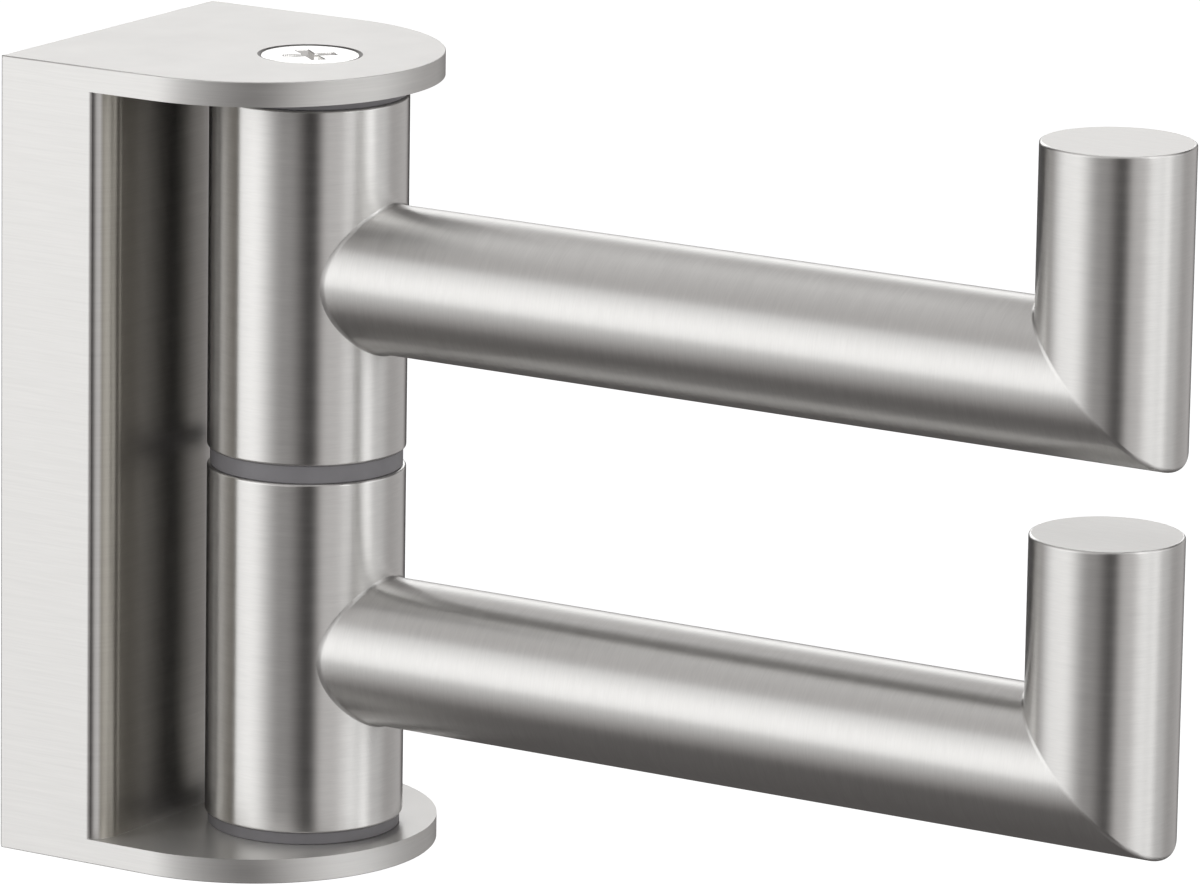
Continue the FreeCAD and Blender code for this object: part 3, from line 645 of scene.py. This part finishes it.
def brushed_plate(finish):
    """Stainless steel sheet: belt-ground sides, finer brushed hollow, duller ground rims.

    The gloss is drawn out upright on upright faces, and along the wall on level ones. The hollow
    gets painted shade, with some heat tint, darker and browner towards its sides, and the
    countersinks get painted shade.
    """
    material, tree = new_material("Brushed stainless steel sheet")
    place = add_node(tree, "ShaderNodeTexCoord")
    point = add_node(tree, "ShaderNodeSeparateXYZ", {0: place.outputs["Object"]})
    normal = add_node(tree, "ShaderNodeSeparateXYZ", {0: place.outputs["Normal"]})
    upward = add_node(tree, "ShaderNodeMath", {0: normal.outputs["Z"]}, operation="ABSOLUTE")
    is_level = add_node(tree, "ShaderNodeMath", {0: upward.outputs[0], 1: LEVEL_RISE},
                        operation="GREATER_THAN")
    is_upright = add_node(tree, "ShaderNodeMath", {0: 1.0, 1: is_level.outputs[0]},
                          operation="SUBTRACT")
    tangent = add_node(tree, "ShaderNodeCombineXYZ",
                       {"X": is_level.outputs[0], "Z": is_upright.outputs[0]})
    out = add_node(tree, "ShaderNodeMapRange",
                   {"Value": point.outputs["Y"], "From Min": ROUND_END_Y,
                    "From Max": ROUND_END_Y - RIM_BLEND}, interpolation_type="SMOOTHSTEP")
    on_rim = add_node(tree, "ShaderNodeMath", {0: out.outputs[0], 1: is_upright.outputs[0]},
                      operation="MULTIPLY")
    inside, shade_and_tint_mask = hollow_masks(tree, point)
    # the countersinks, which get painted shade
    in_sink = countersink_mask(tree, place.outputs["Object"])

    roughness = finish.roughness
    for mask, there in ((inside, finish.inside_roughness), (shade_and_tint_mask, finish.roughness)):
        roughness = add_node(tree, "ShaderNodeMix", {0: mask, 2: roughness, 3: there}).outputs[0]
    steel = tuple(finish.steel_colour)
    colour = (*steel, 1)
    # painted shade and heat tint in the hollow, painted shade in the countersinks
    for mask, there in ((shade_and_tint_mask, finish.tint_and_shade_colour), (in_sink, finish.sink_shade_colour)):
        colour = add_node(tree, "ShaderNodeMix", {0: mask, 6: colour, 7: (*there, 1)},
                          data_type="RGBA").outputs[2]
    marks = brush_marks(tree, place.outputs["Object"], finish, (0, 0, 1), 3 * finish.grain_length)
    sheet = brushed_shader(tree, colour, marks, tangent.outputs[0], roughness)
    rim = brushed_shader(tree, steel, marks, tangent.outputs[0], finish.rim_roughness,
                         finish.rim_draw_out)
    either = add_node(tree, "ShaderNodeMixShader", {0: on_rim.outputs[0], 1: sheet, 2: rim})
    add_node(tree, "ShaderNodeOutputMaterial", {"Surface": either.outputs[0]})
    return material


def plain_metal(name, colour, roughness, speck):
    """Metal with faint uneven gloss: colour, roughness and the size of the unevenness."""
    material, tree = new_material(name)
    place = add_node(tree, "ShaderNodeTexCoord")
    noise = add_node(tree, "ShaderNodeTexNoise",
                     {"Vector": place.outputs["Object"], "Scale": 1 / speck, "Detail": 3.0})
    rough = add_node(tree, "ShaderNodeMapRange",
                     {"Value": noise.outputs["Fac"], "From Min": NOISE_LOW,
                      "From Max": NOISE_HIGH, "To Min": 0.95 * roughness,
                      "To Max": 1.05 * roughness})
    metal = add_node(tree, "ShaderNodeBsdfPrincipled",
                     {"Base Color": (*colour, 1), "Metallic": 1.0,
                      "Roughness": rough.outputs[0]})
    add_node(tree, "ShaderNodeOutputMaterial", {"Surface": metal.outputs[0]})
    return material


def moulded_nylon(finish):
    """Polyamide, moulded: satin, faintly cloudy, with the fine grain of the mould."""
    material, tree = new_material("Moulded nylon")
    place = add_node(tree, "ShaderNodeTexCoord")
    cloud = add_node(tree, "ShaderNodeTexNoise",
                     {"Vector": place.outputs["Object"], "Scale": 1 / CLOUD_SIZE})
    shade = add_node(tree, "ShaderNodeMapRange",
                     {"Value": cloud.outputs["Fac"], "From Min": NOISE_LOW,
                      "From Max": NOISE_HIGH, "To Min": 0.95, "To Max": 1.05})
    tint = add_node(tree, "ShaderNodeVectorMath",
                    {0: tuple(finish.nylon_colour), "Scale": shade.outputs[0]},
                    operation="SCALE")
    grain = add_node(tree, "ShaderNodeTexNoise",
                     {"Vector": place.outputs["Object"], "Scale": 1 / MOULD_GRAIN})
    bump = add_node(tree, "ShaderNodeBump",
                    {"Strength": 0.3, "Distance": RELIEF, "Height": grain.outputs["Fac"]})
    plastic = add_node(tree, "ShaderNodeBsdfPrincipled",
                       {"Base Color": tint.outputs[0], "Roughness": 0.42, "IOR": 1.53,
                        "Normal": bump.outputs[0]})
    add_node(tree, "ShaderNodeOutputMaterial", {"Surface": plastic.outputs[0]})
    return material


def paint(names, material):
    """Give CAD nodes a finished material."""
    for name in names:
        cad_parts[name].material_slots[0].material = material


# Operators


class WALLHOOK_OT_barrels(bpy.types.Operator):
    """Make both barrels as turned tubes"""
    bl_idname = "wallhook.barrels"
    bl_label = "Barrels"

    def execute(self, context):
        shape, finish = context.scene.hook_shape, context.scene.steel_finish
        steel = turned_steel("Brushed stainless steel tube", finish, finish.barrel_roughness)
        for hook in ("lower", "upper"):
            node = hook + "_barrel"
            low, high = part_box(node)
            length = high.z - low.z
            corners = [(BORE_RADIUS, 0), (BARREL_RADIUS, 0), (BARREL_RADIUS, length),
                       (BORE_RADIUS, length)]
            outer, inner = shape.edge_radius, shape.edge_radius / 2
            piece = turned_surface(node + "_tube", corners, [inner, outer, outer, inner],
                                   low.z, shape.steps_round)
            piece.data.materials.append(steel)
            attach(piece, hook + "_hook")
            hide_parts(node)
        return {"FINISHED"}


class WALLHOOK_OT_bars(bpy.types.Operator):
    """Make each arm and its upturned tip as one mitred bar"""
    bl_idname = "wallhook.bars"
    bl_label = "Arms and tips"

    def execute(self, context):
        shape, finish = context.scene.hook_shape, context.scene.steel_finish
        steel = turned_steel("Brushed stainless steel bar", finish, finish.roughness)
        for hook in ("lower", "upper"):
            piece = hook_bar(hook + "_bar", hook + "_arm", hook + "_tip", shape)
            piece.data.materials.append(steel)
            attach(piece, hook + "_hook")
            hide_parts(hook + "_arm", hook + "_tip")
        return {"FINISHED"}


class WALLHOOK_OT_washers(bpy.types.Operator):
    """Make the plastic washers, and finish the bushes"""
    bl_idname = "wallhook.washers"
    bl_label = "Washers and bushes"

    def execute(self, context):
        shape, nylon = context.scene.hook_shape, moulded_nylon(context.scene.steel_finish)
        for node in ("bottom_washer", "middle_washer", "top_washer"):
            low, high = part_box(node)
            thickness = high.z - low.z
            corners = [(WASHER_BORE_RADIUS, 0), (high.x, 0), (high.x, thickness),
                       (WASHER_BORE_RADIUS, thickness)]
            piece = turned_surface(node + "_disc", corners, [shape.washer_edge_radius] * 4,
                                   low.z, shape.steps_round)
            piece.data.materials.append(nylon)
            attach(piece, "bracket")
            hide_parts(node)
        paint([hook + "_barrel_" + end + "_bush" for hook in ("lower", "upper")
               for end in ("base", "top")], nylon)
        return {"FINISHED"}


class WALLHOOK_OT_bracket(bpy.types.Operator):
    """Finish the bracket and the wall plate behind it"""
    bl_idname = "wallhook.bracket"
    bl_label = "Bracket and wall plate"

    def execute(self, context):
        shape, finish = context.scene.hook_shape, context.scene.steel_finish
        shell = bracket_shell("bracket", "bracket_shell", shape.bracket_edge)
        shell.data.materials.append(brushed_plate(finish))
        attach(shell, "bracket")
        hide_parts("bracket")
        # cold-rolled and left as the mill made it, which gives an even grey sheen
        paint(["wall_plate"],
              plain_metal("Mill-finish stainless steel", finish.plate_colour,
                          roughness=0.4, speck=1.5 * MM))
        return {"FINISHED"}


class WALLHOOK_OT_screws(bpy.types.Operator):
    """Make the pin's screws, and finish the clamp screw and the pin"""
    bl_idname = "wallhook.screws"
    bl_label = "Screws and pin"

    def execute(self, context):
        shape, finish = context.scene.hook_shape, context.scene.steel_finish
        # cold-headed and tumbled bright, so it mirrors the room
        polished = plain_metal("Polished stainless steel", finish.screw_colour,
                               roughness=0.12, speck=0.5 * MM)
        for node, turn in SCREW_TURNS.items():
            screw = pin_screw(node + "_turned", node, turn, shape)
            screw.data.materials.append(polished)
            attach(screw, "bracket")
            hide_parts(node)
        paint(["clamp_screw"], polished)
        # ground round for the bushes to run on, which veils the gloss a little
        paint(["pivot_pin"],
              plain_metal("Ground stainless steel", finish.screw_colour,
                          roughness=0.25, speck=1.0 * MM))
        return {"FINISHED"}


# The room as the metal sees it. Azimuths count from straight in front of the wall round by
# the right, elevations from the horizon, all in degrees. The walls are dark, and pass into
# the floor and into the bright ceiling between these elevations.
FLOOR_LEVEL, WALL_LEVEL, CEILING_LEVEL = 0.12, 0.02, 0.81
FLOOR_TO_WALL, WALL_TO_CEILING = (-40, -5), (25, 70)
# A soft box has its middle, half width and soft edge in azimuth, the same in elevation, and
# its level. The window on the left gives the bracket's side its bright tone.
LEFT_WINDOW = (-135, 5, 45), (5, 0, 55), 1.65
# A dim strip beside the window lights the barrels' left edges.
LEFT_STRIP = (-95, 15, 25), (15, 20, 10), 0.65
# Two boxes straight ahead: the bright middle of the barrels and the band along the arms.
LOW_FRONT_BOX = (-20, 15, 15), (-10, 40, 15), 0.58
FRONT_BOX = (-10, 0, 10), (20, 15, 5), 1.65
# A narrow tall strip and a wide box, with the dark gap beside them, draw the barrels' right.
TALL_STRIP = (10, 5, 15), (30, 70, 25), 0.87
RIGHT_BOX = (30, 5, 20), (35, 35, 20), 0.62
# A dim low box on the right lights the tips' right edges.
LOW_RIGHT_BOX = (55, 35, 15), (0, 15, 10), 0.52
# The window behind on the right gives the top its bright tone.
RIGHT_WINDOW = (130, 20, 5), (20, 5, 10), 2.2
ROOM_PANELS = (LEFT_WINDOW, LEFT_STRIP, LOW_FRONT_BOX, FRONT_BOX, TALL_STRIP, RIGHT_BOX,
               LOW_RIGHT_BOX, RIGHT_WINDOW)
# The floor reaches this far from the hook, in metres, and glows with this strength
FLOOR_REACH, FLOOR_GLOW = 4.0, 0.4
# The lamp's diameter and place, in metres
KEY_SIZE, KEY_PLACE = 0.6, (-0.7, -0.5, 0.9)


def studio_world(look):
    """A white world for the camera, plain light for matt things and the room for metal.

    The room is a sum of soft patches. A patch's share falls smoothly from 1 to 0 over its
    soft edge, once with the distance in azimuth and once with that in elevation.
    """
    world = bpy.data.worlds.new("Studio")
    world.use_nodes = True
    tree = world.node_tree
    tree.nodes.clear()
    maths, fade = "ShaderNodeMath", "ShaderNodeMapRange"
    direction = add_node(tree, "ShaderNodeTexCoord")
    way = add_node(tree, "ShaderNodeSeparateXYZ", {0: direction.outputs["Generated"]})
    ahead = add_node(tree, maths, {0: way.outputs["Y"], 1: -1.0}, operation="MULTIPLY")
    round_angle = add_node(tree, maths, {0: way.outputs["X"], 1: ahead.outputs[0]},
                           operation="ARCTAN2")
    height_angle = add_node(tree, maths, {0: way.outputs["Z"]}, operation="ARCSINE")
    azimuth = add_node(tree, maths, {0: round_angle.outputs[0]}, operation="DEGREES")
    elevation = add_node(tree, maths, {0: height_angle.outputs[0]}, operation="DEGREES")
    walls = add_node(tree, fade,
                     {"Value": elevation.outputs[0], "From Min": FLOOR_TO_WALL[0],
                      "From Max": FLOOR_TO_WALL[1], "To Min": FLOOR_LEVEL,
                      "To Max": WALL_LEVEL}, interpolation_type="SMOOTHSTEP")
    ceiling = add_node(tree, fade,
                       {"Value": elevation.outputs[0], "From Min": WALL_TO_CEILING[0],
                        "From Max": WALL_TO_CEILING[1], "To Max": CEILING_LEVEL - WALL_LEVEL},
                       interpolation_type="SMOOTHSTEP")
    brightness = add_node(tree, maths, {0: walls.outputs[0], 1: ceiling.outputs[0]},
                          operation="ADD")
    for across, up, level in ROOM_PANELS:
        shares = []
        for angle, (middle, half, soft), most in ((azimuth, across, 1.0), (elevation, up, level)):
            aside = add_node(tree, maths, {0: angle.outputs[0], 1: float(middle)},
                             operation="SUBTRACT")
            turned = add_node(tree, maths, {0: aside.outputs[0], 1: 180.0, 2: -180.0},
                              operation="WRAP")
            distance = add_node(tree, maths, {0: turned.outputs[0]}, operation="ABSOLUTE")
            share = add_node(tree, fade,
                             {"Value": distance.outputs[0], "From Min": half,
                              "From Max": half + soft, "To Min": most, "To Max": 0.0},
                             interpolation_type="SMOOTHSTEP")
            shares.append(share.outputs[0])
        brightness = add_node(tree, maths,
                              {0: shares[0], 1: shares[1], 2: brightness.outputs[0]},
                              operation="MULTIPLY_ADD")
    ray = add_node(tree, "ShaderNodeLightPath")
    tint = add_node(tree, "ShaderNodeMix",
                    {0: brightness.outputs[0], 6: (*look.shade_colour, 1),
                     7: (1, 1, 1, 1)}, data_type="RGBA")
    light = add_node(tree, "ShaderNodeMix",
                     {0: ray.outputs["Is Glossy Ray"], 2: look.fill_strength,
                      3: brightness.outputs[0]})
    seen = add_node(tree, "ShaderNodeMix",
                    {0: ray.outputs["Is Camera Ray"], 2: light.outputs[0], 3: 1.0})
    colour = add_node(tree, "ShaderNodeMix",
                      {0: ray.outputs["Is Glossy Ray"], 6: (1, 1, 1, 1), 7: tint.outputs[2]},
                      data_type="RGBA")
    background = add_node(tree, "ShaderNodeBackground",
                          {"Color": colour.outputs[2], "Strength": seen.outputs[0]})
    add_node(tree, "ShaderNodeOutputWorld", {"Surface": background.outputs[0]})
    bpy.context.scene.world = world


def studio_floor(look):
    """A pale floor that keeps the hook's soft shadow and fades into the white beyond.

    It is matt card, and glows a little for the camera alone, so that it comes out white.
    """
    material, tree = new_material("Matt white card")
    card = add_node(tree, "ShaderNodeBsdfDiffuse", {"Color": (*linear_colour("#F2F2F2"), 1)})
    glow = add_node(tree, "ShaderNodeEmission", {"Strength": FLOOR_GLOW})
    seen = add_node(tree, "ShaderNodeAddShader", {0: card.outputs[0], 1: glow.outputs[0]})
    ray = add_node(tree, "ShaderNodeLightPath")
    either = add_node(tree, "ShaderNodeMixShader",
                      {0: ray.outputs["Is Camera Ray"], 1: card.outputs[0], 2: seen.outputs[0]})
    add_node(tree, "ShaderNodeOutputMaterial", {"Surface": either.outputs[0]})
    mesh = bpy.data.meshes.new("floor")
    mesh.from_pydata([(x * FLOOR_REACH, y * FLOOR_REACH, CAD_BOX[0][2] - look.floor_drop)
                      for x, y in ((-1, -1), (1, -1), (1, 1), (-1, 1))], [], [(0, 1, 2, 3)])
    mesh.materials.append(material)
    floor = add_object("floor", mesh)
    floor.visible_glossy = False


def studio_camera(look):
    """The camera, turned about the pivot by azimuth, elevation and roll."""
    a, e, r = look.azimuth, look.elevation, look.roll
    back = Vector((math.sin(a) * math.cos(e), -math.cos(a) * math.cos(e), math.sin(e)))
    level = (-back).cross(Vector((0, 0, 1))).normalized()
    upright = level.cross(-back)
    right = math.cos(r) * level + math.sin(r) * upright
    up = math.cos(r) * upright - math.sin(r) * level
    aim = Vector((0, PIVOT_Y, look.aim_up)) + look.aim_right * right
    data = bpy.data.cameras.new("Camera")
    data.lens, data.sensor_fit = look.focal_length, "HORIZONTAL"
    camera = add_object("Camera", data)
    turn = Matrix((right, up, back)).transposed()
    camera.matrix_world = Matrix.Translation(aim + back * look.distance) @ turn.to_4x4()
    bpy.context.scene.camera = camera


def studio_lamp(look):
    """One large soft lamp above the left shoulder, for the matt pieces and the shadow."""
    data = bpy.data.lights.new("Key lamp", "AREA")
    data.shape, data.size, data.energy = "DISK", KEY_SIZE, look.key_strength
    lamp = add_object("Key lamp", data)
    facing = (Vector(KEY_PLACE) - Vector((0, PIVOT_Y, 0))).to_track_quat("Z", "Y")
    lamp.matrix_world = Matrix.Translation(KEY_PLACE) @ facing.to_matrix().to_4x4()
    lamp.visible_glossy = False


class WALLHOOK_OT_studio(bpy.types.Operator):
    """Set up the floor, the light and the camera"""
    bl_idname = "wallhook.studio"
    bl_label = "Studio"

    def execute(self, context):
        look = context.scene.studio_look
        studio_world(look)
        studio_floor(look)
        studio_lamp(look)
        studio_camera(look)
        context.scene.view_settings.view_transform = "Standard"
        return {"FINISHED"}


class WALLHOOK_PT_panel(bpy.types.Panel):
    """Lists the pieces of the wall hook and their sizes and colours"""
    bl_idname = "WALLHOOK_PT_panel"
    bl_label = "Wall hook"
    bl_space_type = "VIEW_3D"
    bl_region_type = "UI"
    bl_category = "Wall hook"

    def draw(self, context):
        for group in (context.scene.hook_shape, context.scene.steel_finish,
                      context.scene.studio_look):
            box = self.layout.box()
            for name in group.__annotations__:
                box.prop(group, name)
        for operator in OPERATORS:
            self.layout.operator(operator.bl_idname)


GROUPS = (("hook_shape", HookShape), ("steel_finish", SteelFinish), ("studio_look", StudioLook))
OPERATORS = (WALLHOOK_OT_barrels, WALLHOOK_OT_bars, WALLHOOK_OT_washers, WALLHOOK_OT_bracket,
             WALLHOOK_OT_screws, WALLHOOK_OT_studio)


def register():
    for name, group in GROUPS:
        bpy.utils.register_class(group)
        setattr(bpy.types.Scene, name, PointerProperty(type=group))
    for item in (*OPERATORS, WALLHOOK_PT_panel):
        bpy.utils.register_class(item)


def unregister():
    for item in (WALLHOOK_PT_panel, *reversed(OPERATORS)):
        bpy.utils.unregister_class(item)
    for name, group in reversed(GROUPS):
        delattr(bpy.types.Scene, name)
        bpy.utils.unregister_class(group)


def main():
    register()
    bpy.ops.wallhook.barrels()
    bpy.ops.wallhook.bars()
    bpy.ops.wallhook.washers()
    bpy.ops.wallhook.bracket()
    bpy.ops.wallhook.screws()
    bpy.ops.wallhook.studio()


if __name__ == "__main__":
    main()
